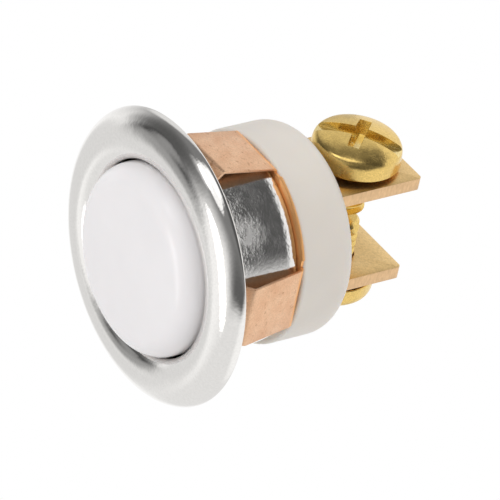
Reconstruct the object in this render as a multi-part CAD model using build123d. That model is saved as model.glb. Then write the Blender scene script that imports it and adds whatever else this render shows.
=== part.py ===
from build123d import *
from math import cos, radians, sin, tau
import os

# Recessed push button for a round hole in a door frame or panel, such as a door bell's.
# All sizes are in millimetres. The push axis runs along Y and the front faces -Y.
# The terminal screws stand along Z, and +Z is up. The origin is on the push axis, in the
# plane of the wall that the rim rests on.

# Bezel shell: rim, barrel and floor, drawn from one sheet
barrel_diameter = 14.6
barrel_length = 6.5
barrel_corner = 0.5
shell_sheet = 0.35
rim_overhang = 3.2
rim_crest_offset = 1.0
rim_height = 1.45
mouth_depth = 0.75
floor_width = 2.0

# Spring clip: a flat ring with leaves folded forward from it, punched from narrow strip
clip_leaves = 4
clip_sheet = 0.2
clip_ring_ledge = 0.42
strip_inset = 0.35
strip_angle = -45.0
clip_fold_gap = 0.12
leaf_width = 4.7
leaf_setback = 2.0
leaf_flare = 10.0
leaf_lip_length = 0.8
leaf_lip_turn = 55.0
leaf_bend_radius = 0.25
relief_width = 0.6
relief_depth = 0.17

# Terminal body: a moulded puck with a spigot that is staked over inside the shell
body_ledge = 0.3
body_length = 4.66
body_back_round = 1.4
body_front_round = 0.25
spigot_wall = 0.7
spigot_clearance = 0.1
staked_lip_reach = 0.5
staked_lip_height = 0.7

# Guide disc, pressed into the mouth of the spigot and resting on a ledge there
guide_thickness = 0.8
guide_ledge = 0.6
guide_fit = 0.02

# Button cap with its stem
cap_clearance = 0.15
cap_height = 2.85
cap_crown = 0.5
cap_edge_round = 1.6
cap_wall = 1.1
cap_crown_wall = 1.3
skirt_end_gap = 0.55
stem_diameter = 3.0
stem_clearance = 0.12
neck_diameter = 1.8
neck_overhang = 0.45
travel = 1.5
rest_gap = 0.08

# Return spring
spring_wire = 0.4
spring_mean_diameter = 5.0
spring_closed_turns = 1
spring_active_turns = 5
spring_seat_gap = 0.02

# Contact bridge and the push nut that holds it on the neck
bridge_margin = 0.35
bridge_sheet = 0.3
nut_diameter = 2.8
nut_sheet = 0.3
nut_teeth = 6
nut_slit = 0.3
nut_clearance = 0.25
neck_fit = 0.02
closed_gap = 0.02

# Terminals: flat blades moulded into the body
terminal_sheet = 0.95
terminal_width = 6.85
terminal_shift = 0.35
terminal_spacing = 7.62
terminal_rise = 0.47
terminal_tail = 3.5
terminal_corner = 0.3
terminal_bend = 0.15
terminal_neck = 0.66
tongue_width = 3.2
pip_diameter = 1.0
pip_height = 0.4
pip_margin = 0.25

# Terminal screws
thread_diameter = 2.84
thread_play = 0.06
screw_tip_gap = 0.8
screw_point_chamfer = 0.3
head_diameter = 6.5
head_side = 1.36
head_draft = 0.1
head_crown = 0.7
head_brow_round = 0.45
head_foot_round = 0.1
head_to_body = 0.39
slot_width = 1.1
slot_depth = 0.85
slot_angle = 41.0
cross_span = 3.7
cross_width = 0.95
cross_depth = 1.25
cross_taper = 12.0
upper_head_gap = 0.45
lower_head_gap = 0.4

# Radii and widths that follow from the barrel
barrel_radius = barrel_diameter / 2
bore_radius = barrel_radius - shell_sheet
rim_radius = barrel_radius + rim_overhang
crest_radius = barrel_radius + rim_crest_offset
clip_ring_radius = barrel_radius + clip_ring_ledge
strip_width = barrel_diameter - 2 * strip_inset
fold_distance = barrel_radius + clip_fold_gap
body_diameter = barrel_diameter + 2 * body_ledge
spigot_diameter = barrel_diameter - 2 * floor_width
spigot_hole = spigot_diameter + 2 * spigot_clearance
guide_seat = spigot_diameter - 2 * spigot_wall
chamber_diameter = guide_seat - 2 * guide_ledge
pip_position = (nut_diameter + pip_diameter) / 2 + nut_clearance
tongue_inner_end = pip_position - pip_diameter / 2 - pip_margin
bridge_diameter = 2 * pip_position + pip_diameter + 2 * bridge_margin
cap_radius = bore_radius - cap_clearance

# Places along the push axis, from the front to the back
mouth = mouth_depth - rim_height
cap_ceiling = cap_crown_wall - cap_height
leaf_length = barrel_length - leaf_setback
floor_front = barrel_length - shell_sheet
clip_back = barrel_length + clip_sheet
lip_front = floor_front - staked_lip_height
skirt_end = lip_front - travel - skirt_end_gap
guide_back = lip_front + guide_thickness
bridge_front = guide_back + rest_gap
bridge_back = bridge_front + bridge_sheet
nut_back = bridge_back + nut_sheet
neck_end = nut_back + neck_overhang
pip_front = bridge_back + travel + closed_gap
tongue_front = pip_front + pip_height
chamber_floor = tongue_front + terminal_sheet
blade_root = chamber_floor + terminal_neck
body_back = clip_back + body_length
screw_axis = body_back + head_to_body + head_diameter / 2
blade_end = screw_axis + terminal_tail

# Heights of the terminals' outer faces, and the screws' length under the head
upper_face = terminal_rise + (terminal_spacing + terminal_sheet) / 2
lower_face = terminal_rise - (terminal_spacing + terminal_sheet) / 2
faces_apart = upper_face - lower_face
screw_length = (faces_apart + upper_head_gap + lower_head_gap - screw_tip_gap) / 2


def facing_back(y):
    """A plane square to the push axis, with X across and its normal towards the back."""
    return Plane(origin=(0, y, 0), x_dir=(1, 0, 0), z_dir=(0, 1, 0))


def disc(diameter, front, back):
    """A round plate on the push axis between two distances from the wall."""
    return extrude(facing_back(front) * Circle(diameter / 2), back - front)


def circles(piece):
    """The piece's round edges, from the front to the back."""
    return piece.edges().filter_by(GeomType.CIRCLE).sort_by(Axis.Y)


def bezel_shell():
    """Domed rim that is rolled over into the barrel, with a floor turned in at the back."""
    inner_corner = barrel_corner - shell_sheet
    corner_start = barrel_length - barrel_corner
    skin = [
        ((crest_radius, mouth), crest_radius - bore_radius, mouth_depth, 180),
        ((crest_radius, 0), rim_radius - crest_radius, rim_height, 270),
    ]
    with BuildSketch() as section:
        with BuildLine():
            # Both faces of the sheet, from the mouth of the bore over the crest to the edge
            for centre, across, along, start in skin:
                EllipticalCenterArc(centre, across, along, start, arc_size=90)
            for centre, across, along, start in skin:
                EllipticalCenterArc(
                    centre, across - shell_sheet, along - shell_sheet, start, arc_size=90
                )
            Line((rim_radius, 0), (rim_radius - shell_sheet, 0))
            # The barrel, its rounded corner and the floor round the spigot's hole
            Line((barrel_radius, mouth), (barrel_radius, corner_start))
            CenterArc((barrel_radius - barrel_corner, corner_start), barrel_corner, 0, 90)
            Polyline(
                (barrel_radius - barrel_corner, barrel_length),
                (spigot_hole / 2, barrel_length),
                (spigot_hole / 2, floor_front),
                (barrel_radius - barrel_corner, floor_front),
            )
            CenterArc((barrel_radius - barrel_corner, corner_start), inner_corner, 0, 90)
            Line((bore_radius, corner_start), (bore_radius, mouth))
        make_face()
    return revolve(section.sketch, Axis.Y)


def clip_leaf():
    """One leaf: out of the ring's plane, folded forward, flared, its free end turned in."""
    middle = barrel_length + clip_sheet / 2
    fold = fold_distance - clip_sheet / 2
    root = (spigot_hole / 2 + fold) / 2
    flare = radians(leaf_flare)
    turn = radians(leaf_flare - leaf_lip_turn)
    bend_y = middle - leaf_length * cos(flare)
    bend_z = fold + leaf_length * sin(flare)
    lip_y = bend_y - leaf_lip_length * cos(turn)
    lip_z = bend_z + leaf_lip_length * sin(turn)
    with BuildSketch(Plane.YZ) as strip:
        with BuildLine():
            FilletPolyline(
                (middle, root), (middle, fold), (bend_y, bend_z), (lip_y, lip_z),
                radius=leaf_bend_radius,
            )
        trace(line_width=clip_sheet)
    return extrude(strip.sketch, leaf_width / 2, both=True)


def spring_clip():
    """Thin ring behind the barrel whose leaves grip the hole in the wall."""
    strip = Rot(0, 0, strip_angle) * Rectangle(2 * clip_ring_radius, strip_width)
    ring = (Circle(clip_ring_radius) & strip) - Circle(spigot_hole / 2)
    cut_width = leaf_width + 2 * relief_width
    cut_start = fold_distance - clip_sheet - relief_depth
    cut = Pos(0, cut_start + clip_ring_radius) * Rectangle(cut_width, 2 * clip_ring_radius)
    leaf = clip_leaf()
    for step in range(clip_leaves):
        ring -= Rot(0, 0, step * 360 / clip_leaves) * cut
    clip = extrude(facing_back(barrel_length) * ring, clip_sheet)
    for step in range(clip_leaves):
        clip += Rot(0, step * 360 / clip_leaves, 0) * leaf
    return clip


def terminal(face, side):
    """Blade with its outer face at a height, turned in to a tongue with a contact pip."""
    middle = face - side * terminal_sheet / 2
    tongue_middle = chamber_floor - terminal_sheet / 2
    plan = Pos(terminal_shift, (blade_root + blade_end) / 2) * Rectangle(
        terminal_width, blade_end - blade_root
    )
    plan = fillet(plan.vertices().sort_by(Axis.Y)[-2:], terminal_corner)
    plan -= Pos(terminal_shift, screw_axis) * Circle(thread_diameter / 2 + thread_play)
    blade = Pos(0, 0, middle - terminal_sheet / 2) * extrude(plan, terminal_sheet)
    with BuildSketch(Plane.YZ) as bend:
        with BuildLine():
            FilletPolyline(
                (blade_root + terminal_bend, middle),
                (tongue_middle, middle),
                (tongue_middle, side * tongue_inner_end),
                radius=terminal_bend + terminal_sheet / 2,
            )
        trace(line_width=terminal_sheet)
    tongue = extrude(bend.sketch, tongue_width / 2, both=True)
    return blade + tongue + Pos(0, 0, side * pip_position) * contact_pip()


def contact_pip():
    """Low dome coined on a tongue, as the cap of a ball."""
    ball = (pip_diameter / 2) ** 2 / (2 * pip_height) + pip_height / 2
    dome = Pos(0, pip_front + ball, 0) * Sphere(ball)
    return dome & disc(2 * ball, pip_front, tongue_front)


def terminal_body(terminals):
    """Moulded puck, chamber for the contacts, and a spigot staked over the shell's floor."""
    puck = disc(body_diameter, clip_back, body_back)
    puck = fillet(circles(puck)[-1], body_back_round)
    puck = fillet(circles(puck)[0], body_front_round)
    lip = disc(spigot_diameter + 2 * staked_lip_reach, lip_front, floor_front)
    lip = chamfer(circles(lip)[0], staked_lip_reach / 2)
    body = puck + disc(spigot_diameter, lip_front, clip_back) + lip
    body -= disc(chamber_diameter, lip_front, chamber_floor)
    body -= disc(guide_seat, lip_front, guide_back)
    for piece in terminals:
        body -= piece
    return body


def guide_disc():
    """Insulating washer that guides the stem and stops the bridge."""
    plate = disc(guide_seat - 2 * guide_fit, lip_front, guide_back)
    return plate - disc(stem_diameter + 2 * stem_clearance, lip_front, guide_back)


def button_cap():
    """Crowned cap with a skirt that slides in the bore, and a stem with a stepped neck."""
    crown_edge = cap_crown - cap_height
    with BuildSketch() as outside:
        with BuildLine():
            ThreePointArc(
                (-cap_radius, crown_edge), (0, -cap_height), (cap_radius, crown_edge)
            )
            Polyline(
                (cap_radius, crown_edge), (cap_radius, skirt_end),
                (-cap_radius, skirt_end), (-cap_radius, crown_edge),
            )
        make_face()
        fillet(outside.vertices().sort_by(Axis.Y)[:2], cap_edge_round)
        split(bisect_by=Plane.YZ, keep=Keep.TOP)
    cap = revolve(outside.sketch, Axis.Y)
    hollow = disc(2 * (cap_radius - cap_wall), cap_ceiling, skirt_end)
    cap -= fillet(circles(hollow)[0], cap_wall / 2)
    neck = disc(neck_diameter, bridge_front, neck_end)
    neck = chamfer(circles(neck)[-1], neck_overhang / 2)
    return cap + disc(stem_diameter, cap_ceiling, bridge_front) + neck


def return_spring():
    """Round-wire coil between the guide disc and the cap, with its end turns closed."""
    start = lip_front - spring_seat_gap - spring_wire / 2
    end = cap_ceiling + spring_seat_gap + spring_wire / 2
    closed_pitch = spring_wire + spring_seat_gap
    active_rise = start - end - 2 * spring_closed_turns * closed_pitch
    steps_a_turn = 12
    steps = steps_a_turn * (spring_active_turns + 2 * spring_closed_turns)
    route = []
    for step in range(steps + 1):
        turned = step / steps_a_turn
        active = min(max(turned - spring_closed_turns, 0), spring_active_turns)
        rise = active_rise * active / spring_active_turns + closed_pitch * (turned - active)
        across = spring_mean_diameter / 2 * cos(tau * turned)
        up = spring_mean_diameter / 2 * sin(tau * turned)
        route.append((across, start - rise, up))
    wire = Spline(*route)
    return sweep(Plane(wire @ 0, z_dir=wire % 0) * Circle(spring_wire / 2), path=wire)


def contact_bridge():
    """Springy disc on the neck that joins the two contact pips when the button is pressed."""
    plate = disc(bridge_diameter, bridge_front, bridge_back)
    return plate - disc(neck_diameter + 2 * neck_fit, bridge_front, bridge_back)


def push_nut():
    """Toothed washer pushed onto the neck behind the bridge."""
    nut = disc(nut_diameter, bridge_back, nut_back)
    nut -= disc(neck_diameter + 2 * neck_fit, bridge_back, nut_back)
    slit_end = (nut_diameter + neck_diameter) / 4
    slit = Pos(0, (bridge_back + nut_back) / 2, slit_end / 2) * Box(
        nut_slit, nut_sheet, slit_end
    )
    for tooth in range(nut_teeth):
        nut -= Rot(0, tooth * 360 / nut_teeth, 0) * slit
    return nut


def terminal_screw(face, side, gap):
    """Round-headed screw with a slot and a cross, its head on one side of a terminal."""
    foot = head_diameter / 2
    brow = foot - head_draft
    top = head_side + head_crown
    with BuildSketch(Plane.XZ) as section:
        with BuildLine():
            ThreePointArc((-brow, head_side), (0, top), (brow, head_side))
            Polyline((brow, head_side), (foot, 0), (-foot, 0), (-brow, head_side))
        make_face()
        corners = section.vertices().sort_by(Axis.Y)
        fillet(corners[:2], head_foot_round)
        fillet(corners[2:], head_brow_round)
        split(bisect_by=Plane.YZ, keep=Keep.TOP)
    head = revolve(section.sketch, Axis.Z)
    slot = Pos(0, 0, top - slot_depth / 2) * Box(head_diameter, slot_width, slot_depth)
    cross = Rectangle(cross_width, cross_span) + Rectangle(cross_span, cross_width)
    recess = Pos(0, 0, top) * extrude(cross, -cross_depth, taper=cross_taper)
    head -= Rot(0, 0, slot_angle * side) * (slot + recess)
    shank = Pos(0, 0, -screw_length / 2) * Cylinder(thread_diameter / 2, screw_length)
    point = shank.edges().filter_by(GeomType.CIRCLE).sort_by(Axis.Z)[0]
    screw = head + chamfer(point, screw_point_chamfer)
    if side < 0:
        screw = Rot(180, 0, 0) * screw
    return Pos(terminal_shift, screw_axis, face + side * gap) * screw


upper_terminal = terminal(upper_face, 1)
lower_terminal = terminal(lower_face, -1)
parts = {
    "bezel_shell": bezel_shell(),
    "spring_clip": spring_clip(),
    "terminal_body": terminal_body([upper_terminal, lower_terminal]),
    "guide_disc": guide_disc(),
    "button_cap": button_cap(),
    "return_spring": return_spring(),
    "contact_bridge": contact_bridge(),
    "push_nut": push_nut(),
    "upper_terminal": upper_terminal,
    "lower_terminal": lower_terminal,
    "upper_screw": terminal_screw(upper_face, 1, upper_head_gap),
    "lower_screw": terminal_screw(lower_face, -1, lower_head_gap),
}

os.makedirs("parts", exist_ok=True)
for name, piece in parts.items():
    export_step(piece, f"parts/{name}.step")
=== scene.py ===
"""The looks of a recessed push button: plated shell, copper clip, nylon body, brass terminals.

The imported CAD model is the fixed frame. Its visible nodes are shown by finer meshes of the
same sizes, built here in millimetres and put in the frame in metres.
"""

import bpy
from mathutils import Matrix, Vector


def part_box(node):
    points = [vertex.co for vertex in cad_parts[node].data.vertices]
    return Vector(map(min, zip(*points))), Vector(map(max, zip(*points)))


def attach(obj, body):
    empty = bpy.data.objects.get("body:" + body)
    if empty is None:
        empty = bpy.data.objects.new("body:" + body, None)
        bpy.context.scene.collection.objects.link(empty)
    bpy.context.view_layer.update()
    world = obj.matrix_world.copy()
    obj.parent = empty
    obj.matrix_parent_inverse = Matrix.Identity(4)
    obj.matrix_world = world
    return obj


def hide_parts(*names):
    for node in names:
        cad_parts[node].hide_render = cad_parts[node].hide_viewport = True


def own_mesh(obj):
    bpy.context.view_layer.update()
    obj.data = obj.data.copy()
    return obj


bl_info = {
    "name": "Recessed push button",
    "version": (1, 0, 0),
    "blender": (4, 5, 0),
    "location": "View3D > Sidebar > Push button",
    "description": "Builds the finished pieces of a recessed push button on its CAD frame",
    "category": "Object",
}

from math import atan2, cos, degrees, hypot, pi, radians, sin, sqrt, tan
from types import SimpleNamespace

import bmesh
import bpy
from bpy.props import FloatProperty, FloatVectorProperty, IntProperty, PointerProperty
from mathutils import Matrix, Vector

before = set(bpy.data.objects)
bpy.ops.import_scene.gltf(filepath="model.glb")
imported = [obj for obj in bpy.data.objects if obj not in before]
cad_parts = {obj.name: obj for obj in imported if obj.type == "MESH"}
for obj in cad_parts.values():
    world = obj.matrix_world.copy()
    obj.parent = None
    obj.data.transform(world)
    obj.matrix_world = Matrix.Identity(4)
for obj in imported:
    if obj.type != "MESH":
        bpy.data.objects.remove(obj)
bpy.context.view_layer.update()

MM = 0.001
TURN = 2 * pi


def linear(hex_colour):
    """Turns an sRGB hex colour into the linear red, green, blue and alpha that Blender uses."""
    channels = [int(hex_colour[i : i + 2], 16) / 255 for i in (1, 3, 5)]
    return [c / 12.92 if c < 0.04045 else ((c + 0.055) / 1.055) ** 2.4 for c in channels] + [1]


def low(node):
    """A CAD node's lowest corner, in millimetres."""
    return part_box(node)[0] / MM


def high(node):
    """A CAD node's highest corner, in millimetres."""
    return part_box(node)[1] / MM


def length(name, description, millimetres):
    """A size of the part, kept in metres."""
    return FloatProperty(
        name=name, description=description, default=millimetres * MM, unit="LENGTH", precision=5
    )


def angle(name, description, degrees):
    """An angle of the part."""
    return FloatProperty(
        name=name, description=description, default=radians(degrees), subtype="ANGLE"
    )


def colour(name, description, hex_colour):
    """A finish's colour."""
    return FloatVectorProperty(
        name=name, description=description, default=linear(hex_colour), size=4,
        min=0, max=1, subtype="COLOR",
    )


class ShellSettings(bpy.types.PropertyGroup):
    """Sizes and colour of the plated shell."""

    rim_radius: length("Rim radius", "Outer edge of the rim", high("bezel_shell").x)
    rim_height: length("Rim height", "Crest above the wall", -low("bezel_shell").y)
    crest_radius: length("Crest radius", "Where the rim stands highest", 8.3)
    mouth_depth: length("Mouth depth", "From the crest to the mouth of the bore", 0.75)
    sheet: length("Sheet", "Thickness of the drawn sheet", 0.35)
    barrel_radius: length("Barrel radius", "Outside of the barrel", 7.3)
    barrel_length: length("Barrel length", "Wall to the back of the floor", high("bezel_shell").y)
    corner: length("Corner", "Outer round at the back of the barrel", 0.35)
    swage: length("Swage", "Radius of the slow turn before that corner", 6)
    swage_turn: angle("Swage turn", "How far the side has turned in at the corner", 8)
    edge_round: length("Edge round", "Round at the rim's outer edge", 0.12)
    edge_angle: angle("Edge angle", "Last part of the rim's curve, which is drawn straight", 7)
    hole_radius: length("Floor hole", "Hole for the body's spigot", 5.4)
    plate_colour: colour("Plating", "Colour of the bright nickel and chrome", "#F5F3F0")


class ClipSettings(bpy.types.PropertyGroup):
    """Sizes and colour of the spring clip."""

    ring_radius: length("Ring radius", "Outside of the flat ring", 7.72)
    hole_radius: length("Ring hole", "Hole of the ring, round the body's spigot", 5.4)
    strip_width: length("Strip width", "Width of the strip that the ring is punched from", 13.9)
    ring_middle: length("Ring place", "Middle of the ring's sheet behind the wall", 6.6)
    sheet: length("Sheet", "Thickness of the strip", 0.2)
    leaf_width: length("Leaf width", "Width of one leaf", 4.7)
    leaf_length: length("Leaf length", "Fold to bend", 4.5)
    fold_radius: length("Fold place", "Middle of the sheet where a leaf folds forward", 7.32)
    lip_length: length("Lip length", "Turned-in end of a leaf", 0.8)
    bend: length("Bend", "Radius of the sheet's middle at a bend", 0.25)
    relief: length("Relief", "Cut at each side of a leaf's root", 0.6)
    relief_depth: length("Relief depth", "Cut's depth inside the fold", 0.27)
    flare: angle("Flare", "Angle of a leaf away from the barrel", 10)
    lip_turn: angle("Lip turn", "Angle of the lip from its leaf", 55)
    leaves: IntProperty(name="Leaves", description="Number of leaves", default=4, min=2)
    strip_colour: colour("Strip", "Colour of the copper strip", "#F2C8A4")


class BodySettings(bpy.types.PropertyGroup):
    """Sizes and colour of the moulded body."""

    radius: length("Radius", "Outside of the body", high("terminal_body").x)
    front: length("Front", "Shoulder against the clip", 6.7)
    back: length("Back", "Back face", high("terminal_body").y)
    back_round: length("Back round", "Round between the side and the back", 1.4)
    front_round: length("Front round", "Round at the shoulder", 0.25)
    spigot_radius: length("Spigot", "Spigot through the shell's floor", 5.3)
    lip_front: length("Lip front", "Front of the staked lip", low("terminal_body").y)
    lip_radius: length("Lip radius", "Outside of the staked lip", 5.8)
    lip_back: length("Lip back", "Back of the staked lip", 6.15)
    chamber_radius: length("Chamber", "Chamber for the contacts", 4.0)
    chamber_floor: length("Chamber floor", "Back of the chamber", 9.5)
    seat_radius: length("Seat", "Seat of the guide disc", 4.6)
    seat_back: length("Seat back", "Back of the guide disc", 6.25)
    nylon_colour: colour("Nylon", "Colour of the natural nylon", "#E9E2D9")


class CapSettings(bpy.types.PropertyGroup):
    """Sizes and colour of the button cap."""

    radius: length("Radius", "Outside of the cap", high("button_cap").x)
    top: length("Top", "Crown in front of the wall", -low("button_cap").y)
    crown: length("Crown", "Rise of the crown from edge to middle", 0.5)
    edge_round: length("Edge round", "Round between the crown and the side", 1.6)
    wall: length("Wall", "Thickness of the skirt", 1.1)
    crown_wall: length("Crown wall", "Thickness of the crown", 1.3)
    skirt_end: length("Skirt end", "Back end of the skirt", 3.4)
    stem_radius: length("Stem", "Radius of the stem", 1.5)
    stem_end: length("Stem end", "Shoulder that carries the bridge", 6.33)
    neck_radius: length("Neck", "Radius of the neck", 0.9)
    neck_end: length("Neck end", "Back end of the neck", high("button_cap").y)
    plastic_colour: colour("Plastic", "Colour of the white cap", "#F4F1F2")


class TerminalSettings(bpy.types.PropertyGroup):
    """Sizes and colours of the two blades."""

    sheet: length("Sheet", "Thickness of the blade", 0.95)
    right: length("Right edge", "Blade's right edge", high("upper_terminal").x)
    left: length("Left edge", "Blade's left edge", low("upper_terminal").x)
    end: length("End", "Free end of the blade", high("upper_terminal").y)
    root: length("Root", "Where the wide blade starts in the body", 10.16)
    corner: length("Corner", "Round corner of the free end", 0.3)
    hole_room: length("Hole room", "Room between the screw's thread and its hole", 0.06)
    tongue_width: length("Tongue width", "Width of the contact tongue", 3.2)
    tongue_end: length("Tongue end", "Inner end of the tongue", 1.4)
    tongue_back: length("Tongue back", "Back face of the tongue", 9.5)
    bend: length("Bend", "Inner radius of the bend", 0.15)
    pip_radius: length("Pip", "Radius of the contact pip", 0.5)
    pip_height: length("Pip height", "Height of the contact pip", 0.4)
    pip_place: length("Pip place", "Pip away from the push axis", 2.15)
    face_colour: colour("Face", "Colour of the rolled face", "#EECB8E")
    edge_colour: colour("Edge", "Colour of the sheared edge", "#E6C093")


class ScrewSettings(bpy.types.PropertyGroup):
    """Sizes and colour of the terminal screws."""

    axis_shift: length("Shift", "Screw axis to the right of the push axis", 0.35)
    axis_place: length("Axis", "Screw axis behind the wall", 15.0)
    thread_radius: length("Thread", "Outside of the thread", 1.42)
    pitch: length("Pitch", "Advance in one turn", 0.635)
    head_radius: length("Head", "Radius of the head at its foot", 3.25)
    head_draft: length("Draft", "Radius lost up the head's side", 0.1)
    head_side: length("Head side", "Height of the head's side", 1.36)
    head_crown: length("Head crown", "Height of the head's dome", 0.7)
    foot_round: length("Foot round", "Round at the foot of the head", 0.1)
    brow_round: length("Brow round", "Round between the side and the dome", 0.45)
    shank: length("Shank", "Length under the head", 4.31)
    point: length("Point", "Chamfer at the end", 0.3)
    slot_width: length("Slot width", "Width of the slot", 1.1)
    slot_depth: length("Slot depth", "Depth of the slot below the dome's top", 0.85)
    cross_span: length("Cross span", "Length of the cross's arms, end to end", 3.7)
    cross_width: length("Cross width", "Width of the cross's arms", 0.95)
    cross_depth: length("Cross depth", "Depth of the cross below the dome's top", 1.25)
    cross_taper: angle("Cross taper", "Lean of the cross's walls", 12)
    slot_angle: angle("Slot angle", "Slot from the right-hand side", 41)
    brass_colour: colour("Brass", "Colour of the bright brass", "#ECCA7A")
    # Painted reflection: a lighter, more orange brass in the recess stands in for how bright its
    # walls look
    recess_light_colour: colour("Recess", "Lighter colour painted in the recess for its bright walls", "#FFE2A2")


class SpringSettings(bpy.types.PropertyGroup):
    """Sizes of the return spring."""

    wire: length("Wire", "Thickness of the wire", 0.4)
    mean_radius: length("Mean radius", "Push axis to the middle of the wire", 2.5)
    seat: length("Seat", "Front of the guide disc that the spring stands on", 5.45)
    gap: length("Gap", "Room left at each end and between closed turns", 0.02)
    pitch: length("Pitch", "Advance in one active turn", 1.144)
    travel: length("Travel", "How far the cap presses the spring", 1.5)
    turns: IntProperty(name="Turns", description="Number of active turns", default=5, min=1)


class StageSettings(bpy.types.PropertyGroup):
    """Camera and light."""

    distance: length("Distance", "Camera from the point it looks at", 348.92)
    azimuth: angle("Azimuth", "Camera round the part", 49.513)
    elevation: angle("Elevation", "Camera above the level", 34.783)
    roll: angle("Roll", "Camera turned about its own line of sight", 12.241)
    lens: FloatProperty(name="Lens", description="Focal length in mm", default=364.5)
    floor_drop: length("Floor drop", "Floor below the push axis", 60)
    floor_reach: length("Floor reach", "Middle of the floor to its edge", 1500)
    floor_colour: colour("Floor", "Colour of the pale floor", "#F2F2F2")


SETTINGS = {
    "shell": ShellSettings,
    "clip": ClipSettings,
    "body": BodySettings,
    "cap": CapSettings,
    "terminal": TerminalSettings,
    "screw": ScrewSettings,
    "spring": SpringSettings,
    "stage": StageSettings,
}


class PushButtonSettings(bpy.types.PropertyGroup):
    """All sizes and colours of the push button."""

    shell: PointerProperty(type=ShellSettings)
    clip: PointerProperty(type=ClipSettings)
    body: PointerProperty(type=BodySettings)
    cap: PointerProperty(type=CapSettings)
    terminal: PointerProperty(type=TerminalSettings)
    screw: PointerProperty(type=ScrewSettings)
    spring: PointerProperty(type=SpringSettings)
    stage: PointerProperty(type=StageSettings)


NOISE = "ShaderNodeTexNoise"
RANGE = "ShaderNodeMapRange"
MATH = "ShaderNodeMath"
VECTOR_MATH = "ShaderNodeVectorMath"
MIX = "ShaderNodeMix"

# Noise keeps mostly between these, so a pattern runs from its one end to the other there
USUAL = (0.3, 0.7)


def add_node(tree, kind, inputs, output=0, **settings):
    """Adds a node and returns one of its outputs.

    The inputs come in the sockets' order, or by name or number; a socket among them is linked
    and anything else is set as the input's value.
    """
    node = tree.nodes.new(kind)
    for key, value in settings.items():
        setattr(node, key, value)
    pairs = inputs.items() if isinstance(inputs, dict) else enumerate(inputs)
    for key, value in pairs:
        if isinstance(value, bpy.types.NodeSocket):
            tree.links.new(value, node.inputs[key])
        else:
            node.inputs[key].default_value = value
    return node.outputs[output] if node.outputs else None


def emptied_tree(owner):
    """The node tree of a material or a world, emptied."""
    owner.use_nodes = True
    owner.node_tree.nodes.clear()
    return owner.node_tree


def new_material(name):
    """A material with no shader yet, its node tree and its object coordinates in millimetres."""
    material = bpy.data.materials.new(name)
    tree = emptied_tree(material)
    place = add_node(tree, "ShaderNodeTexCoord", (), "Object")
    per_mm = add_node(tree, VECTOR_MATH, (place, (1 / MM,) * 3), operation="MULTIPLY")
    return material, tree, per_mm


def mottle(tree, pattern, first, second, ends=USUAL, most=1):
    """A colour that goes from a first one to a share of a second one with a pattern."""
    share = add_node(tree, RANGE, (pattern, *ends, 0, most))
    return add_node(tree, MIX, {0: share, 6: first, 7: second}, 2, data_type="RGBA")


def surface(material, inputs, relief):
    """Ends a material with its shader, over layers of relief: each a height and its depth in mm."""
    tree = material.node_tree
    under = {}
    for height, depth in relief:
        layer = {"Height": height, "Distance": depth * MM, **under}
        under = {"Normal": add_node(tree, "ShaderNodeBump", layer)}
    shader = add_node(tree, "ShaderNodeBsdfPrincipled", {**inputs, **under})
    add_node(tree, "ShaderNodeOutputMaterial", {"Surface": shader})
    return material


def shade(tint, factor):
    """A linear colour made darker or lighter by a factor."""
    return [min(c * factor, 1) for c in tint[:3]] + [1]


# Where the hole's edge rubbed the barrel dull, in millimetres
RUBBED_PLACE = (5.4, 2.6, 4.9)


def bright_plate(settings):
    """Bright chrome over nickel on drawn sheet: a mirror on the rim, hazed on the barrel."""
    material, tree, place = new_material("Bright chrome plate")
    plate = list(settings.plate_colour)
    # Waves and dimples of the polished sheet; its pits, near 0.05 mm, are drawn at 0.2 mm to show
    waves = add_node(tree, NOISE, {"Vector": place, "Scale": 1 / 2.4, "Detail": 1})
    dimples = add_node(tree, NOISE, {"Vector": place, "Scale": 1 / 0.8, "Detail": 2})
    pits = add_node(tree, NOISE, {"Vector": place, "Scale": 1 / 0.2, "Detail": 3})
    # Scuffs, which dull the barrel behind the rim and most of all round the rubbed place
    scuffs = add_node(
        tree, NOISE, {"Vector": place, "Scale": 1 / 1.6, "Detail": 5, "Roughness": 0.72}
    )
    reach = add_node(tree, VECTOR_MATH, (place, RUBBED_PLACE), "Value", operation="DISTANCE")
    rubbed = add_node(tree, RANGE, (reach, 0.1, 1.7, 0.9, 0))
    depth = add_node(tree, "ShaderNodeSeparateXYZ", (place,), "Y")
    barrel = add_node(tree, RANGE, (depth, 0.2, 0.5, 0, 1))
    broken = add_node(tree, RANGE, (scuffs, 0.38, 0.62, 0.1, 1))
    worn = add_node(tree, MATH, (rubbed, 0.3), operation="ADD")
    worn = add_node(tree, MATH, (worn, broken), operation="MULTIPLY")
    hazed = add_node(tree, MATH, (worn, barrel), operation="MULTIPLY")
    speckle = add_node(tree, MATH, (pits, barrel), operation="MULTIPLY")
    return surface(
        material,
        {
            "Base Color": mottle(tree, pits, shade(plate, 0.95), plate),
            "Metallic": 1,
            "Roughness": add_node(tree, RANGE, (hazed, 0, 1.2, 0.07, 0.4)),
        },
        ((waves, 0.02), (dimples, 0.007), (pits, 0.0016), (speckle, 0.004), (hazed, 0.003)),
    )


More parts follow.
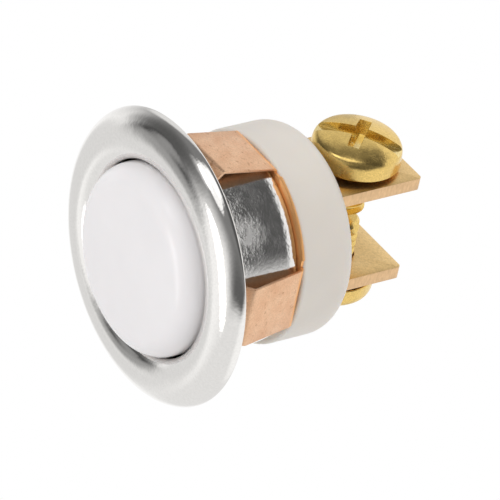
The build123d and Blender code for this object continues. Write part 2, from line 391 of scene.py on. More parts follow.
def copper_strip(settings):
    """Rolled copper-plated strip: sandy grain, pink and tan clouds, and painted light, orange on
    the ring and in the folds.
    """
    material, tree, place = new_material("Rolled copper strip")
    warm = list(settings.strip_colour)
    # The rolls leave a grain near 0.03 mm, drawn at 0.11 mm to show
    grain = add_node(tree, NOISE, {"Vector": place, "Scale": 1 / 0.11, "Detail": 3})
    clouds = add_node(tree, NOISE, {"Vector": place, "Scale": 1 / 1.1, "Detail": 2})
    specks = add_node(
        tree, NOISE, {"Vector": place, "Scale": 1 / 0.45, "Detail": 3, "Roughness": 0.7}
    )
    tint = mottle(tree, grain, shade(warm, 0.82), shade(warm, 1.08))
    tint = mottle(tree, clouds, tint, linear("#E3B08A"), most=0.5)
    tint = mottle(tree, specks, tint, linear("#9C5F3C"), (0.6, 0.72), most=0.5)
    # Painted light: behind 6.2 mm, the ring and the leaves' folds, which lie the deepest, are
    # tinted orange and made less metallic so that they look brightly lit
    depth = add_node(tree, "ShaderNodeSeparateXYZ", (place,), "Y")
    painted_ring_light = add_node(tree, RANGE, (depth, 6.2, 6.5, 0, 1))
    orange = linear("#FFBE7C")
    tint = add_node(tree, MIX, {0: painted_ring_light, 6: tint, 7: orange}, 2, data_type="RGBA")
    return surface(
        material,
        {
            "Base Color": tint,
            # Painted light: less metal on the ring and folds lets the lamps light them brighter
            "Metallic": add_node(tree, RANGE, (painted_ring_light, 0, 1, 1, 0.7)),
            "Roughness": add_node(tree, RANGE, (clouds, *USUAL, 0.34, 0.46)),
        },
        ((grain, 0.003),),
    )


def natural_nylon(settings):
    """Natural nylon, injection moulded: milky, light goes a little way in, satin skin."""
    material, tree, place = new_material("Natural nylon")
    milk = list(settings.nylon_colour)
    # The mould's spark grain, near 0.05 mm, is drawn at 0.35 mm to show; the melt clouds by 4 mm
    skin = add_node(tree, NOISE, {"Vector": place, "Scale": 1 / 0.35, "Detail": 3})
    clouds = add_node(tree, NOISE, {"Vector": place, "Scale": 1 / 4, "Detail": 1})
    return surface(
        material,
        {
            "Base Color": mottle(tree, clouds, shade(milk, 0.95), milk),
            "Roughness": add_node(tree, RANGE, (skin, *USUAL, 0.38, 0.5)),
            "IOR": 1.53,
            "Subsurface Weight": 0.35,
            "Subsurface Radius": (1.2, 0.9, 0.6),
            "Subsurface Scale": MM,
        },
        ((skin, 0.004),),
    )


def white_plastic(settings):
    """White moulded plastic, polished mould: dense white with a clear gloss."""
    material, tree, place = new_material("Glossy white plastic")
    white = list(settings.plastic_colour)
    # Waves where the plastic sank a little as it set, and the polish's orange peel
    waves = add_node(tree, NOISE, {"Vector": place, "Scale": 1 / 2.2, "Detail": 1})
    fine = add_node(tree, NOISE, {"Vector": place, "Scale": 1 / 0.3, "Detail": 2})
    return surface(
        material,
        {
            "Base Color": mottle(tree, waves, shade(white, 0.985), white),
            "Roughness": add_node(tree, RANGE, (fine, *USUAL, 0.16, 0.22)),
            "IOR": 1.5,
            "Subsurface Weight": 0.15,
            "Subsurface Radius": (0.6, 0.5, 0.45),
            "Subsurface Scale": MM,
        },
        ((waves, 0.004),),
    )


def rolled_brass(settings):
    """Brass strip, sheared to size: dull rolled faces and streaked, pinker cut edges."""
    material, tree, place = new_material("Rolled brass strip")
    face, edge = list(settings.face_colour), list(settings.edge_colour)
    normal = add_node(tree, "ShaderNodeNewGeometry", (), "Normal")
    upward = add_node(tree, "ShaderNodeSeparateXYZ", (normal,), "Z")
    level = add_node(tree, MATH, (upward,), operation="ABSOLUTE")
    on_face = add_node(tree, RANGE, (level, 0.55, 0.75, 0, 1))
    # Rolling grain and shear marks, both near 0.04 mm, are drawn at about 0.15 mm to show
    grain = add_node(tree, NOISE, {"Vector": place, "Scale": 1 / 0.14, "Detail": 3})
    drawn_out = add_node(tree, VECTOR_MATH, (place, (1, 1, 0.4)), operation="MULTIPLY")
    streaks = add_node(tree, NOISE, {"Vector": drawn_out, "Scale": 1 / 0.16, "Detail": 3})
    face_tint = mottle(tree, grain, shade(face, 0.84), shade(face, 1.08))
    edge_tint = mottle(tree, streaks, shade(edge, 0.85), shade(edge, 1.05))
    tint = add_node(tree, MIX, {0: on_face, 6: edge_tint, 7: face_tint}, 2, data_type="RGBA")
    return surface(
        material,
        {
            "Base Color": tint,
            "Metallic": 1,
            "Roughness": add_node(tree, RANGE, (on_face, 0, 1, 0.3, 0.34)),
        },
        ((grain, 0.003), (streaks, 0.002)),
    )


def bright_brass(name, brass):
    """Headed brass screw, tumbled bright: yellow metal with small dents and wiped grain."""
    material, tree, place = new_material(name)
    # Tumbling leaves dents of 0.7 mm; the grain, near 0.03 mm, is drawn at 0.12 mm to show
    grain = add_node(tree, NOISE, {"Vector": place, "Scale": 1 / 0.12, "Detail": 3})
    dents = add_node(tree, NOISE, {"Vector": place, "Scale": 1 / 0.7, "Detail": 2})
    return surface(
        material,
        {
            "Base Color": mottle(tree, grain, shade(brass, 0.82), shade(brass, 1.1)),
            "Metallic": 1,
            "Roughness": add_node(tree, RANGE, (dents, *USUAL, 0.16, 0.3)),
        },
        ((dents, 0.02), (grain, 0.003)),
    )


def plain_grain(name, hex_colour, metallic, roughness, period, depth):
    """A hidden piece's finish: one colour with a grain of a given period and depth in mm."""
    material, tree, place = new_material(name)
    base = linear(hex_colour)
    grain = add_node(tree, NOISE, {"Vector": place, "Scale": 1 / period, "Detail": 3})
    return surface(
        material,
        {
            "Base Color": mottle(tree, grain, shade(base, 0.75), shade(base, 1.1)),
            "Metallic": metallic,
            "Roughness": roughness,
        },
        ((grain, depth),),
    )


def arc(bm, centre, across, along, start, sweep, steps):
    """Spins a vertex into an arc of an ellipse, in degrees; returns the arc's vertices."""
    first = bm.verts.new((centre[0] + cos(radians(start)), centre[1] + sin(radians(start)), 0))
    before = len(bm.verts) - 1
    bmesh.ops.spin(
        bm, geom=[first], cent=(*centre, 0), axis=(0, 0, 1), dvec=(0, 0, 0),
        angle=radians(sweep), steps=steps, use_merge=False, use_duplicate=False,
    )
    bm.verts.ensure_lookup_table()
    verts = bm.verts[before:]
    about = Matrix.Translation((-centre[0], -centre[1], 0))
    bmesh.ops.scale(bm, vec=(across, along, 1), verts=verts, space=about)
    return verts


def corners(bm, points):
    """Vertices at the corners of a profile, each with the radius that rounds it."""
    return [(bm.verts.new((across, along, 0)), rounding) for across, along, rounding in points]


def round_corners(bm, rounded, segments=8):
    """Rounds the profile's corners that have a radius."""
    for vert, rounding in rounded:
        if rounding:
            bmesh.ops.bevel(
                bm, geom=[vert], offset=rounding, offset_type="OFFSET", segments=segments,
                profile=0.5, affect="VERTICES", material=-1,
            )


def join_in_order(bm, verts, closed):
    """Joins vertices into one line."""
    following = verts[1:] + verts[:1] if closed else verts[1:]
    for a, b in zip(verts, following):
        if a is not b and not any(b in e.verts for e in a.link_edges):
            bm.edges.new((a, b))


def profile(bm, points, closed=True, segments=8):
    """A line through the points, each (across, along, rounding), with its corners rounded."""
    rounded = corners(bm, points)
    join_in_order(bm, [vert for vert, _ in rounded], closed)
    round_corners(bm, rounded, segments)


def turn_on_lathe(bm, steps=160):
    """Spins the profile once round the push axis and closes the seam and poles."""
    bmesh.ops.spin(
        bm, geom=bm.verts[:] + bm.edges[:], cent=(0, 0, 0), axis=(0, 1, 0), dvec=(0, 0, 0),
        angle=TURN, steps=steps, use_merge=True, use_duplicate=False,
    )
    bmesh.ops.remove_doubles(bm, verts=bm.verts[:], dist=0.001)


def thicken(bm, faces, sheet):
    """Gives faces at the middle of a sheet its thickness."""
    bm.normal_update()
    for vert in {v for f in faces for v in f.verts}:
        vert.co += vert.normal * vert.calc_shell_factor() * sheet / 2
    bmesh.ops.solidify(bm, geom=faces, thickness=sheet)


def soften_edges(bm, width, segments=2, sharper_than=35):
    """Breaks the edges that are sharper than an angle."""
    bm.normal_update()
    edges = [e for e in bm.edges if e.is_manifold and e.calc_face_angle() > radians(sharper_than)]
    bmesh.ops.bevel(
        bm, geom=edges, offset=width, offset_type="OFFSET", segments=segments, profile=0.5,
        affect="EDGES", material=-1, clamp_overlap=True,
    )


def place_piece(bm, name, body, node, material, sharper_than=35):
    """Puts a finished mesh in the frame, in metres, in place of its CAD node."""
    bmesh.ops.recalc_face_normals(bm, faces=bm.faces[:])
    for face in bm.faces:
        face.smooth = True
    for edge in bm.edges:
        edge.smooth = not (
            edge.is_manifold and edge.calc_face_angle() > radians(sharper_than)
        )
    bmesh.ops.scale(bm, vec=(MM, MM, MM), verts=bm.verts[:])
    mesh = bpy.data.meshes.new(name)
    bm.to_mesh(mesh)
    bm.free()
    mesh.materials.append(material)
    piece = bpy.data.objects.new(name, mesh)
    bpy.context.scene.collection.objects.link(piece)
    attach(piece, body)
    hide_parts(node)
    return piece


def in_mm(settings):
    """Reads a settings group, with its lengths in millimetres, into plain values."""
    values = {}
    for name, prop in settings.bl_rna.properties.items():
        if prop.type == "FLOAT" and not prop.is_array:
            scale = MM if prop.unit == "LENGTH" else 1
            values[name] = getattr(settings, name) / scale
        elif prop.type == "INT":
            values[name] = getattr(settings, name)
    return SimpleNamespace(**values)


class OBJECT_OT_push_button_shell(bpy.types.Operator):
    """Build the plated rim and barrel."""

    bl_idname = "object.push_button_shell"
    bl_label = "Plated shell"

    def execute(self, context):
        looks = context.scene.push_button.shell
        s = in_mm(looks)
        bore = s.barrel_radius - s.sheet
        mouth = s.mouth_depth - s.rim_height
        swaged = s.swage - s.corner
        corner = s.barrel_length - s.corner
        side = s.barrel_radius - s.swage + swaged * cos(s.swage_turn)
        slow = (s.barrel_radius - s.swage, corner - swaged * sin(s.swage_turn))
        turn, straight = degrees(s.swage_turn), degrees(s.edge_angle)
        inner = s.corner - s.sheet / 2
        crest, overhang = s.crest_radius, s.rim_radius - s.crest_radius
        bm = bmesh.new()
        outline = arc(bm, (crest, mouth), crest - bore, s.mouth_depth, 180, 90, 20)
        outline += arc(bm, (crest, 0), overhang, s.rim_height, 270, 90 - straight, 32)
        edge = corners(
            bm,
            [(s.rim_radius, 0, s.edge_round), (s.rim_radius - s.sheet, 0, s.edge_round / 2)],
        )
        outline += [vert for vert, _ in edge]
        outline += arc(
            bm, (crest, 0), overhang - s.sheet, s.rim_height - s.sheet,
            -straight, straight - 90, 20,
        )
        outline += arc(
            bm, (crest, mouth), crest - bore - s.sheet, s.mouth_depth - s.sheet, 270, -90, 12
        )
        outline += arc(bm, slow, s.swage, s.swage, 0, turn, 6)
        outline += arc(bm, (side, corner), s.corner, s.corner, turn, 90 - turn, 12)
        outline += [
            bm.verts.new((s.hole_radius, s.barrel_length, 0)),
            bm.verts.new((s.hole_radius, s.barrel_length - s.sheet, 0)),
        ]
        outline += arc(
            bm, (bore - inner, s.barrel_length - s.sheet - inner), inner, inner, 90, -90, 8
        )
        join_in_order(bm, outline, closed=True)
        round_corners(bm, edge, segments=6)
        bmesh.ops.remove_doubles(bm, verts=bm.verts[:], dist=0.001)
        turn_on_lathe(bm, steps=224)
        material = bright_plate(looks)
        place_piece(bm, "plated_shell", "housing", "bezel_shell", material)
        return {"FINISHED"}


def clip_ring(bm, s):
    """The flat ring, with a straight cut across it at each leaf."""
    cut = s.fold_radius - s.relief_depth
    half_cut = s.leaf_width / 2 + s.relief
    ring = [(s.hole_radius, s.ring_middle, 0), (s.ring_radius, s.ring_middle, 0)]
    profile(bm, ring, closed=False)
    turn_on_lathe(bm, steps=192)
    for leaf in range(s.leaves):
        out = Vector((cos(TURN * leaf / s.leaves), 0, sin(TURN * leaf / s.leaves)))
        side = Vector((-out.z, 0, out.x))
        for point, normal in (
            (out * cut, out), (side * half_cut, side), (side * -half_cut, side)
        ):
            bmesh.ops.bisect_plane(
                bm, geom=bm.verts[:] + bm.edges[:] + bm.faces[:], plane_co=point,
                plane_no=normal, dist=0.0001,
            )
        centres = [(f, f.calc_center_median()) for f in bm.faces]
        waste = [
            f for f, c in centres if c.dot(out) > cut and abs(c.dot(side)) < half_cut
        ]
        bmesh.ops.delete(bm, geom=waste, context="FACES")
    flat = Vector((1, 0, -1)).normalized()
    for side in (flat, -flat):
        bmesh.ops.bisect_plane(
            bm, geom=bm.verts[:] + bm.edges[:] + bm.faces[:], plane_co=side * s.strip_width / 2,
            plane_no=side, dist=0.0001, clear_outer=True,
        )
    return cut


def clip_leaf(bm, s, root):
    """One leaf of the clip, to the right of the push axis."""
    y, x = s.ring_middle, s.fold_radius
    bend = (x + s.leaf_length * sin(s.flare), y - s.leaf_length * cos(s.flare))
    turn = s.flare - s.lip_turn
    lip = (bend[0] + s.lip_length * sin(turn), bend[1] - s.lip_length * cos(turn))
    before = set(bm.verts)
    profile(bm, [(root, y, 0), (x, y, s.bend), (*bend, s.bend / 2), (*lip, 0)], closed=False)
    strip = [v for v in bm.verts if v not in before]
    edges = [e for e in bm.edges if e.verts[0] in strip and e.verts[1] in strip]
    bmesh.ops.translate(bm, vec=(0, 0, -s.leaf_width / 2), verts=strip)
    out = bmesh.ops.extrude_edge_only(bm, edges=edges)
    moved = [v for v in out["geom"] if isinstance(v, bmesh.types.BMVert)]
    bmesh.ops.translate(bm, vec=(0, 0, s.leaf_width), verts=moved)
    return strip + moved


class OBJECT_OT_push_button_clip(bpy.types.Operator):
    """Build the spring clip."""

    bl_idname = "object.push_button_clip"
    bl_label = "Spring clip"

    def execute(self, context):
        looks = context.scene.push_button.clip
        s = in_mm(looks)
        bm = bmesh.new()
        root = clip_ring(bm, s)
        for leaf in range(s.leaves):
            verts = clip_leaf(bm, s, root)
            bmesh.ops.rotate(
                bm, cent=(0, 0, 0), matrix=Matrix.Rotation(TURN * leaf / s.leaves, 3, "Y"),
                verts=verts,
            )
        bmesh.ops.recalc_face_normals(bm, faces=bm.faces[:])
        thicken(bm, bm.faces[:], s.sheet)
        soften_edges(bm, 0.03, sharper_than=50)
        material = copper_strip(looks)
        place_piece(bm, "copper_clip", "housing", "spring_clip", material)
        return {"FINISHED"}


class OBJECT_OT_push_button_body(bpy.types.Operator):
    """Build the moulded body."""

    bl_idname = "object.push_button_body"
    bl_label = "Moulded body"

    def execute(self, context):
        looks = context.scene.push_button.body
        s = in_mm(looks)
        bm = bmesh.new()
        profile(
            bm,
            [
                (0, s.chamber_floor, 0),
                (s.chamber_radius, s.chamber_floor, 0),
                (s.chamber_radius, s.seat_back, 0),
                (s.seat_radius, s.seat_back, 0),
                (s.seat_radius, s.lip_front, 0.05),
                (s.lip_radius, s.lip_front, 0.25),
                (s.lip_radius, s.lip_back, 0),
                (s.spigot_radius, s.lip_back, 0),
                (s.spigot_radius, s.front, 0),
                (s.radius, s.front, s.front_round),
                (s.radius, s.back, s.back_round),
                (0, s.back, 0),
            ],
            closed=False, segments=12,
        )
        turn_on_lathe(bm, steps=192)
        material = natural_nylon(looks)
        place_piece(bm, "nylon_body", "housing", "terminal_body", material)
        return {"FINISHED"}


class OBJECT_OT_push_button_cap(bpy.types.Operator):
    """Build the white cap with its stem."""

    bl_idname = "object.push_button_cap"
    bl_label = "White cap"

    def execute(self, context):
        looks = context.scene.push_button.cap
        s = in_mm(looks)
        ball = (s.radius**2 + s.crown**2) / (2 * s.crown)
        ball_centre = ball - s.top
        round_x = s.radius - s.edge_round
        round_y = ball_centre - sqrt((ball - s.edge_round) ** 2 - round_x**2)
        meeting = degrees(atan2(round_y - ball_centre, round_x))
        ceiling = s.crown_wall - s.top
        inside = s.radius - s.wall
        bm = bmesh.new()
        outline = arc(bm, (0, ball_centre), ball, ball, -90, meeting + 90, 24)
        outline += arc(bm, (round_x, round_y), s.edge_round, s.edge_round, meeting, -meeting, 24)
        rest = corners(
            bm,
            [
                (s.radius, s.skirt_end, 0.1),
                (inside, s.skirt_end, 0.1),
                (inside, ceiling, s.wall / 2),
                (s.stem_radius, ceiling, 0.2),
                (s.stem_radius, s.stem_end, 0.05),
                (s.neck_radius, s.stem_end, 0),
                (s.neck_radius, s.neck_end, 0.2),
                (0, s.neck_end, 0),
            ],
        )
        join_in_order(bm, outline + [vert for vert, _ in rest], closed=False)
        round_corners(bm, rest, segments=4)
        bmesh.ops.remove_doubles(bm, verts=bm.verts[:], dist=0.001)
        turn_on_lathe(bm, steps=192)
        material = white_plastic(looks)
        place_piece(bm, "white_cap", "button", "button_cap", material)
        return {"FINISHED"}


def blade(bm, s, screw):
    """The flat blade in the profile plane, with the screw's hole, and its faces."""
    profile(
        bm,
        [
            (s.left, s.root, 0), (s.right, s.root, 0),
            (s.right, s.end, s.corner), (s.left, s.end, s.corner),
        ],
    )
    bmesh.ops.create_circle(
        bm, segments=48, radius=screw.thread_radius + s.hole_room,
        matrix=Matrix.Translation((screw.axis_shift, screw.axis_place, 0)),
    )
    filled = bmesh.ops.triangle_fill(bm, use_beauty=True, edges=bm.edges[:])
    return [f for f in filled["geom"] if isinstance(f, bmesh.types.BMFace)]


def tongue(bm, s, middle, side):
    """The tongue's middle surface, bent towards the push axis inside the body."""
    back = s.tongue_back - s.sheet / 2
    before = set(bm.verts)
    start = s.root + s.bend
    profile(
        bm,
        [(0, start, 0), (0, back, s.bend + s.sheet / 2), (side * s.tongue_end - middle, back, 0)],
        closed=False, segments=6,
    )
    strip = [v for v in bm.verts if v not in before]
    edges = [e for e in bm.edges if e.verts[0] in strip and e.verts[1] in strip]
    bmesh.ops.rotate(bm, cent=(0, 0, 0), matrix=Matrix.Rotation(-pi / 2, 3, "Y"), verts=strip)
    bmesh.ops.translate(bm, vec=(-s.tongue_width / 2, 0, 0), verts=strip)
    out = bmesh.ops.extrude_edge_only(bm, edges=edges)
    moved = [v for v in out["geom"] if isinstance(v, bmesh.types.BMVert)]
    bmesh.ops.translate(bm, vec=(s.tongue_width, 0, 0), verts=moved)
    return [f for f in out["geom"] if isinstance(f, bmesh.types.BMFace)]


def pip(bm, s, middle, side):
    """The contact pip on the tongue, a ball sunk in it."""
    ball = s.pip_radius**2 / (2 * s.pip_height) + s.pip_height / 2
    front = s.tongue_back - s.sheet - s.pip_height
    place = Matrix.Translation((0, front + ball, side * s.pip_place - middle))
    bmesh.ops.create_uvsphere(bm, u_segments=24, v_segments=12, radius=ball, matrix=place)


class OBJECT_OT_push_button_terminals(bpy.types.Operator):
    """Build the two brass blades."""

    bl_idname = "object.push_button_terminals"
    bl_label = "Brass blades"

    def execute(self, context):
        looks = context.scene.push_button
        s, screw = in_mm(looks.terminal), in_mm(looks.screw)
        material = rolled_brass(looks.terminal)
        faces = {"upper": high("upper_terminal").z, "lower": low("lower_terminal").z}
        for name, face in faces.items():
            side = 1 if name == "upper" else -1
            middle = face - side * s.sheet / 2
            bm = bmesh.new()
            plate = blade(bm, s, screw)
            bent = tongue(bm, s, middle, side)
            thicken(bm, plate, s.sheet)
            thicken(bm, bent, s.sheet)
            soften_edges(bm, 0.05)
            pip(bm, s, middle, side)
            bmesh.ops.translate(bm, vec=(0, 0, middle), verts=bm.verts[:])
            node = f"{name}_terminal"
            place_piece(bm, f"{name}_blade", "housing", node, material)
        return {"FINISHED"}


# A 60 degree thread's depth, and its groove's floor, flank, crest and flank, in pitches
THREAD_DEPTH = 0.6134
THREAD_CORNERS = (0, 0.22, 0.49, 0.61, 1)


def threaded_shank(bm, s):
    """A helical thread from the head down to a chamfered point, along -Z."""
    root = s.thread_radius - THREAD_DEPTH * s.pitch
    turns = int(s.shank / s.pitch) + 2
    steps = 40
    radii = (root, root, s.thread_radius, s.thread_radius, root)
    verts = [bm.verts.new((r, 0, -h * s.pitch)) for r, h in zip(radii, THREAD_CORNERS)]
    join_in_order(bm, verts, closed=False)
    bmesh.ops.spin(
        bm, geom=bm.verts[:] + bm.edges[:], cent=(0, 0, 0), axis=(0, 0, 1),
        dvec=(0, 0, -s.pitch / steps), angle=-TURN * turns, steps=steps * turns,
        use_merge=False, use_duplicate=False,
    )
    bmesh.ops.translate(bm, vec=(0, 0, s.pitch * 1.2), verts=bm.verts[:])
    bmesh.ops.remove_doubles(bm, verts=bm.verts[:], dist=0.002)
    for height, sign in ((0.2, 1), (-s.shank, -1)):
        cut = bmesh.ops.bisect_plane(
            bm, geom=bm.verts[:] + bm.edges[:] + bm.faces[:], plane_co=(0, 0, height),
            plane_no=(0, 0, sign), dist=0.0001, clear_outer=True,
        )
        rim = [e for e in cut["geom_cut"] if isinstance(e, bmesh.types.BMEdge)]
        bmesh.ops.edgeloop_fill(bm, edges=rim)
    for vert in bm.verts:
        room = s.thread_radius - s.point + (vert.co.z + s.shank)
        across = hypot(vert.co.x, vert.co.y)
        if across > room:
            vert.co.xy *= room / across


def screw_head(bm, s):
    """The head's solid: a short cylinder with a dome, turned about Z."""
    brow = s.head_radius - s.head_draft
    ball = (brow**2 + s.head_crown**2) / (2 * s.head_crown)
    edge = degrees(atan2(s.head_crown - ball, brow))
    top = s.head_side + s.head_crown
    outline = arc(bm, (0, top - ball), ball, ball, 90, -(90 + edge), 10)
    foot = corners(bm, [(s.head_radius, 0, s.foot_round), (0, 0, 0)])
    join_in_order(bm, outline + [vert for vert, _ in foot], closed=False)
    round_corners(bm, [(outline[-1], s.brow_round)] + foot, segments=6)
    turn_on_lathe(bm, steps=128)
    bmesh.ops.rotate(bm, cent=(0, 0, 0), matrix=Matrix.Rotation(pi / 2, 3, "X"), verts=bm.verts[:])
    return top


def recess(long, wide, top, depth, taper, angle):
    """A bar that leans in towards its foot, to be cut from a screw's head."""
    bm = bmesh.new()
    bmesh.ops.create_cube(bm, size=1)
    shrink = 2 * depth * tan(taper)
    above = 0.3
    for vert in bm.verts:
        lower = vert.co.z < 0
        vert.co.x *= long - (shrink if lower else -2 * above * tan(taper))
        vert.co.y *= wide - (shrink if lower else -2 * above * tan(taper))
        vert.co.z = top - depth if lower else top + above
    bmesh.ops.rotate(
        bm, cent=(0, 0, 0), matrix=Matrix.Rotation(angle, 3, "Z"), verts=bm.verts[:]
    )
    return bm


def cut(bm, cutter_bm):
    """Takes one closed mesh out of another."""
    meshes = []
    for source in (bm, cutter_bm):
        mesh = bpy.data.meshes.new("cutting")
        source.to_mesh(mesh)
        meshes.append(mesh)
    work, cutter = (bpy.data.objects.new("cutting", mesh) for mesh in meshes)
    for thing in (work, cutter):
        bpy.context.scene.collection.objects.link(thing)
    modifier = work.modifiers.new("Cut", "BOOLEAN")
    modifier.operation = "DIFFERENCE"
    modifier.solver = "EXACT"
    modifier.object = cutter
    bpy.context.view_layer.update()
    result = bpy.data.meshes.new_from_object(
        work.evaluated_get(bpy.context.evaluated_depsgraph_get())
    )
    bm.clear()
    bm.from_mesh(result)
    bmesh.ops.remove_doubles(bm, verts=bm.verts[:], dist=0.0005)
    for thing in (work, cutter):
        bpy.data.objects.remove(thing)
    for mesh in (*meshes, result):
        bpy.data.meshes.remove(mesh)
    cutter_bm.free()


def mark_recess(bm, s, top):
    """Gives the walls and floor of the recess the second material, painted lighter for their
    reflections.
    """
    ball = ((s.head_radius - s.head_draft) ** 2 + s.head_crown**2) / (2 * s.head_crown)
    middle = Vector((0, 0, top - ball))
    for face in bm.faces:
        place = face.calc_center_median()
        sunk = (place - middle).length < ball - 0.03
        inside = place.xy.length < s.head_radius - s.head_draft - s.brow_round
        if sunk and inside and place.z > s.foot_round:
            face.material_index = 1


class OBJECT_OT_push_button_screws(bpy.types.Operator):
    """Build the two terminal screws."""

    bl_idname = "object.push_button_screws"
    bl_label = "Terminal screws"

    def execute(self, context):
        looks = context.scene.push_button
        s = in_mm(looks.screw)
        material = bright_brass("Bright headed brass", list(looks.screw.brass_colour))
        # Painted reflection: the recess gets a lighter, more orange brass than the head
        painted_recess_brass = bright_brass("Brass with painted recess light", list(looks.screw.recess_light_colour))
        for name, side in (("upper", 1), ("lower", -1)):
            bm = bmesh.new()
            top = screw_head(bm, s)
            turned = s.slot_angle * side
            span, width = s.cross_span, s.cross_width
            # One bar goes a hair deeper, so that the two floors don't lie in one plane
            for quarter, deeper in ((0, 0), (pi / 2, 0.01)):
                depth = s.cross_depth + deeper
                cut(bm, recess(span, width, top, depth, s.cross_taper, turned + quarter))
            cut(bm, recess(3 * s.head_radius, s.slot_width, top, s.slot_depth, 0, turned))
            soften_edges(bm, 0.03, segments=1, sharper_than=40)
            mark_recess(bm, s, top)
            shank = bmesh.new()
            threaded_shank(shank, s)
            mesh = bpy.data.meshes.new("shank")
            shank.to_mesh(mesh)
            shank.free()
            bm.from_mesh(mesh)
            bpy.data.meshes.remove(mesh)
            node = f"{name}_screw"
            if side > 0:
                foot = high(node).z - top
            else:
                foot = low(node).z + top
                bmesh.ops.rotate(
                    bm, cent=(0, 0, 0), matrix=Matrix.Rotation(pi, 3, "X"), verts=bm.verts[:]
                )
            bmesh.ops.translate(
                bm, vec=(s.axis_shift, s.axis_place, foot), verts=bm.verts[:]
            )
            piece = place_piece(bm, f"{name}_brass_screw", node, node, material)
            piece.data.materials.append(painted_recess_brass)
        return {"FINISHED"}


class OBJECT_OT_push_button_spring(bpy.types.Operator):
    """Build the return spring."""

    bl_idname = "object.push_button_spring"
    bl_label = "Return spring"

    def execute(self, context):
        s = in_mm(context.scene.push_button.spring)
        back = s.seat - s.gap - s.wire / 2
        closed = s.wire + s.gap
        steps = 36
        bm = bmesh.new()
        bmesh.ops.create_circle(
            bm, segments=12, radius=s.wire / 2,
            matrix=Matrix.Translation((s.mean_radius, back, 0)),
        )
        wire = bm.verts[:] + bm.edges[:]
        for turns, pitch in ((1, closed), (s.turns, s.pitch), (1, closed)):
            wound = bmesh.ops.spin(
                bm, geom=wire, cent=(0, 0, 0), axis=(0, 1, 0), dvec=(0, -pitch / steps, 0),
                angle=-TURN * turns, steps=steps * turns, use_merge=False, use_duplicate=False,
            )
            wire = wound["geom_last"]
        bmesh.ops.holes_fill(bm, edges=[e for e in bm.edges if e.is_boundary], sides=0)
        steel = plain_grain("Drawn steel wire", "#B9B8B5", 1, 0.3, 0.1, 0.002)
        piece = place_piece(bm, "steel_spring", "housing", "return_spring", steel)
        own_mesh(piece)
        return {"FINISHED"}


class OBJECT_OT_push_button_inner(bpy.types.Operator):
    """Finish the pieces inside: disc, bridge and nut."""

    bl_idname = "object.push_button_inner"
    bl_label = "Inner pieces"

    def execute(self, context):
        finishes = {
            "guide_disc": plain_grain("Punched red fibre", "#8A4B32", 0, 0.6, 0.2, 0.01),
            "contact_bridge": plain_grain("Rolled bronze strip", "#C99A63", 1, 0.3, 0.15, 0.003),
            "push_nut": plain_grain("Punched spring steel", "#A6A49F", 1, 0.35, 0.15, 0.003),
        }
        for node, material in finishes.items():
            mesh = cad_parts[node].data
            for index in range(len(mesh.materials)):
                mesh.materials[index] = material
        return {"FINISHED"}


WHITE = (1, 1, 1, 1)


def pale_stage(settings):
    """Matte pale paint, white to the camera; bright metal shows the room in its place."""
    material = bpy.data.materials.new("Matte pale paint")
    tree = emptied_tree(material)
    paint = add_node(tree, "ShaderNodeBsdfDiffuse", (list(settings.floor_colour),))
    white = add_node(tree, "ShaderNodeEmission", (WHITE, 1))
    clear = add_node(tree, "ShaderNodeBsdfTransparent", ())
    camera_ray = add_node(tree, "ShaderNodeLightPath", (), "Is Camera Ray")
    glossy_ray = add_node(tree, "ShaderNodeLightPath", (), "Is Glossy Ray")
    behind = add_node(tree, "ShaderNodeNewGeometry", (), "Backfacing")
    unseen = add_node(tree, MATH, (glossy_ray, behind), operation="MAXIMUM")
    shown = add_node(tree, "ShaderNodeMixShader", (camera_ray, paint, white))
    ended = add_node(tree, "ShaderNodeMixShader", (unseen, shown, clear))
    add_node(tree, "ShaderNodeOutputMaterial", {"Surface": ended})
    return material


# The room that bright metal mirrors, each part over the ones before it: azimuth from the front
# towards the right, elevation, inner and outer angle of its soft edge, and how light it is
ROOM_PARTS = (
    ("ceiling at the back", 162, 73, 56, 116, 0.21),
    ("camera's side", 68, -17, 25, 60, 0.12),
    ("window overhead", 10, 62, 17, 22, 1.07),
    ("window's lower half", -17, 45, 1, 15, 0.88),
    ("door on the left", -45, 20, 1, 42, 0.1),
    ("door's foot", -42, -6, 1, 23, 0.03),
    ("something pale in the door", -40, 1, 1, 13, 0.29),
    ("dark wall behind", 142, 42, 30, 44, 0.09),
    ("lamp overhead", 39, 79, 4, 20, 1.3),
    ("table's edge", -47, -18, 1, 18, 0.36),
    ("table on the left", -71, -34, 14, 28, 0.76),
    ("table in front", 60, -65, 45, 62, 0.82),
    ("pale wall on the left", -124, 33, 22, 33, 0.78),
    ("table at the back", 111, -35, 20, 40, 1),
    ("pale wall behind", 180, 0, 49, 52, 1),
    ("key lamp", -8, 52, 4, 12, 2.2),
    ("front lamp, top", -4, -1, 4, 12, 2.8),
    ("front lamp, middle", -4, -11, 4, 12, 2.8),
    ("front lamp, foot", -4, -22, 4, 12, 2.8),
)

# How light the room is for matte surfaces
EVEN_LIGHT = 0.71


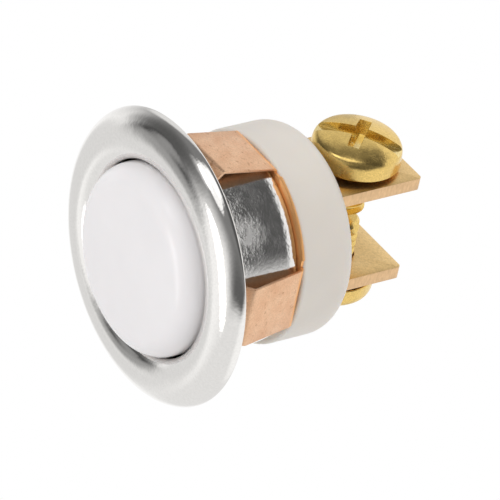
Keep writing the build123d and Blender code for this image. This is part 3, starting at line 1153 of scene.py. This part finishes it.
def room_light():
    """World: even light for matte surfaces, and a room with dark parts for bright metal."""
    world = bpy.data.worlds.new("Room")
    bpy.context.scene.world = world
    tree = emptied_tree(world)
    direction = add_node(tree, "ShaderNodeTexCoord", (), "Generated")
    room = WHITE
    for _, azimuth, elevation, inner, outer, light in ROOM_PARTS:
        az, el = radians(azimuth), radians(elevation)
        aim = (sin(az) * cos(el), -cos(az) * cos(el), sin(el))
        facing = add_node(tree, VECTOR_MATH, (direction, aim), "Value", operation="DOT_PRODUCT")
        share = add_node(
            tree, RANGE, (facing, cos(radians(outer)), cos(radians(inner))),
            interpolation_type="SMOOTHSTEP",
        )
        part = (light, light, light, 1)
        room = add_node(tree, MIX, {0: share, 6: room, 7: part}, 2, data_type="RGBA")
    even = (EVEN_LIGHT, EVEN_LIGHT, EVEN_LIGHT, 1)
    glossy_ray = add_node(tree, "ShaderNodeLightPath", (), "Is Glossy Ray")
    camera_ray = add_node(tree, "ShaderNodeLightPath", (), "Is Camera Ray")
    shown = add_node(tree, MIX, {0: glossy_ray, 6: even, 7: room}, 2, data_type="RGBA")
    shown = add_node(tree, MIX, {0: camera_ray, 6: shown, 7: WHITE}, 2, data_type="RGBA")
    background = add_node(tree, "ShaderNodeBackground", (shown, 1))
    add_node(tree, "ShaderNodeOutputWorld", {"Surface": background})


# What the lamps face, and each lamp's place, width and height in millimetres, and its watts
LIT_PLACE = (0, 6, 0)
LAMPS = (
    ("Key", (-33, -238, 307), 160, 160, 0.3),
    ("Front", (-25, -385, -55), 110, 260, 0.22),
    ("Side", (250, 60, 180), 160, 160, 0.09),
)


def add_light(name, place, width, height, watts):
    """A soft rectangular lamp; bright metal doesn't mirror it but the room's own lamps."""
    lamp = bpy.data.lights.new(name, "AREA")
    lamp.shape = "RECTANGLE"
    lamp.size, lamp.size_y = width * MM, height * MM
    lamp.energy = watts
    thing = bpy.data.objects.new(name, lamp)
    bpy.context.scene.collection.objects.link(thing)
    thing.visible_glossy = False
    thing.location = Vector(place) * MM
    line = Vector(LIT_PLACE) - Vector(place)
    thing.rotation_euler = line.to_track_quat("-Z", "Y").to_euler()


# What the camera looks at, in millimetres
CAMERA_TARGET = (0.347, 7.525, -1.085)


def add_camera(settings):
    """The camera at the photograph's angle, turned about its line of sight."""
    az, el, roll = settings.azimuth, settings.elevation, settings.roll
    back = Vector((sin(az) * cos(el), -cos(az) * cos(el), sin(el)))
    level = Vector((cos(az), sin(az), 0))
    upright = back.cross(level)
    right = level * cos(roll) + upright * sin(roll)
    up = upright * cos(roll) - level * sin(roll)
    data = bpy.data.cameras.new("Camera")
    data.lens = settings.lens
    data.sensor_width = 36
    data.clip_start, data.clip_end = 0.01, 5
    camera = bpy.data.objects.new("Camera", data)
    bpy.context.scene.collection.objects.link(camera)
    turn = Matrix((right, up, back)).transposed().to_4x4()
    target = Vector(CAMERA_TARGET) * MM
    camera.matrix_world = Matrix.Translation(target + back * settings.distance) @ turn
    bpy.context.scene.camera = camera


class SCENE_OT_push_button_stage(bpy.types.Operator):
    """Set the pale floor, the light and the camera."""

    bl_idname = "scene.push_button_stage"
    bl_label = "Stage"

    def execute(self, context):
        settings = context.scene.push_button.stage
        bm = bmesh.new()
        bmesh.ops.create_grid(bm, x_segments=1, y_segments=1, size=settings.floor_reach)
        bmesh.ops.translate(bm, vec=(0, 0, -settings.floor_drop), verts=bm.verts[:])
        mesh = bpy.data.meshes.new("floor")
        bm.to_mesh(mesh)
        bm.free()
        mesh.materials.append(pale_stage(settings))
        floor = bpy.data.objects.new("floor", mesh)
        context.scene.collection.objects.link(floor)
        room_light()
        for lamp in LAMPS:
            add_light(*lamp)
        add_camera(settings)
        context.scene.view_settings.view_transform = "Standard"
        return {"FINISHED"}


class VIEW3D_PT_push_button(bpy.types.Panel):
    """Sizes, colours and build steps of the push button."""

    bl_label = "Push button"
    bl_space_type = "VIEW_3D"
    bl_region_type = "UI"
    bl_category = "Push button"

    def draw(self, context):
        looks = context.scene.push_button
        for operator in OPERATORS:
            self.layout.operator(operator.bl_idname)
        for name in SETTINGS:
            box = self.layout.box()
            box.label(text=name.capitalize())
            group = getattr(looks, name)
            for key in group.__annotations__:
                box.prop(group, key)


OPERATORS = (
    OBJECT_OT_push_button_shell,
    OBJECT_OT_push_button_clip,
    OBJECT_OT_push_button_body,
    OBJECT_OT_push_button_cap,
    OBJECT_OT_push_button_terminals,
    OBJECT_OT_push_button_screws,
    OBJECT_OT_push_button_spring,
    OBJECT_OT_push_button_inner,
    SCENE_OT_push_button_stage,
)
CLASSES = (*SETTINGS.values(), PushButtonSettings, *OPERATORS, VIEW3D_PT_push_button)


def register():
    for kind in CLASSES:
        bpy.utils.register_class(kind)
    bpy.types.Scene.push_button = PointerProperty(type=PushButtonSettings)


def unregister():
    del bpy.types.Scene.push_button
    for kind in reversed(CLASSES):
        bpy.utils.unregister_class(kind)


def main():
    register()
    for operator in OPERATORS:
        family, name = operator.bl_idname.split(".")
        getattr(getattr(bpy.ops, family), name)()


if __name__ == "__main__":
    main()
